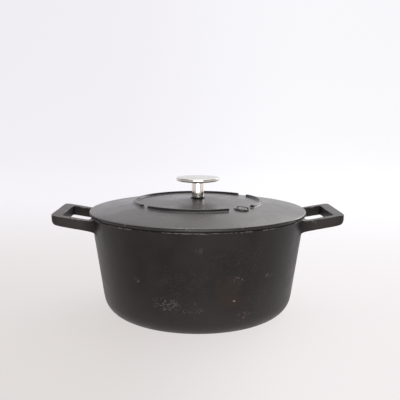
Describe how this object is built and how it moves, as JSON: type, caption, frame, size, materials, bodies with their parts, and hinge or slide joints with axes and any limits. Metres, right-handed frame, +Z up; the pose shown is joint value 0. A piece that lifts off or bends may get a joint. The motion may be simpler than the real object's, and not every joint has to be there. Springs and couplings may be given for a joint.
{
  "type": "cast iron dutch oven",
  "caption": "Round black cast iron dutch oven: tapered pot with two loop handles and a lift-off domed lid with a stainless knob.",
  "frame": {"origin": "centre of the base, on the surface that the pot stands on", "axes": "+Z up out of the lid, +X along the line through the two loop handles, +Y to the back"},
  "size_m": [0.3252, 0.25, 0.1563],
  "materials": {
    "iron": "satin black, slightly worn",
    "steel": "satin turned stainless steel",
    "fixings": "plain stainless fixings",
    "dark_washer": "matt black"
  },
  "bodies": {
    "pot": {"pot": "iron"},
    "lid": {"lid": "iron", "knob_seat_washer": "dark_washer", "knob_stem": "steel", "knob_cap": "steel", "knob_screw": "fixings", "screw_spring_washer": "fixings", "screw_flat_washer": "fixings"}
  },
  "joints": [
    {"name": "lid_lift", "type": "slide", "parent": "pot", "child": "lid", "axis": [0, 0, 1], "range_m": [0, 0.15]}
  ]
}
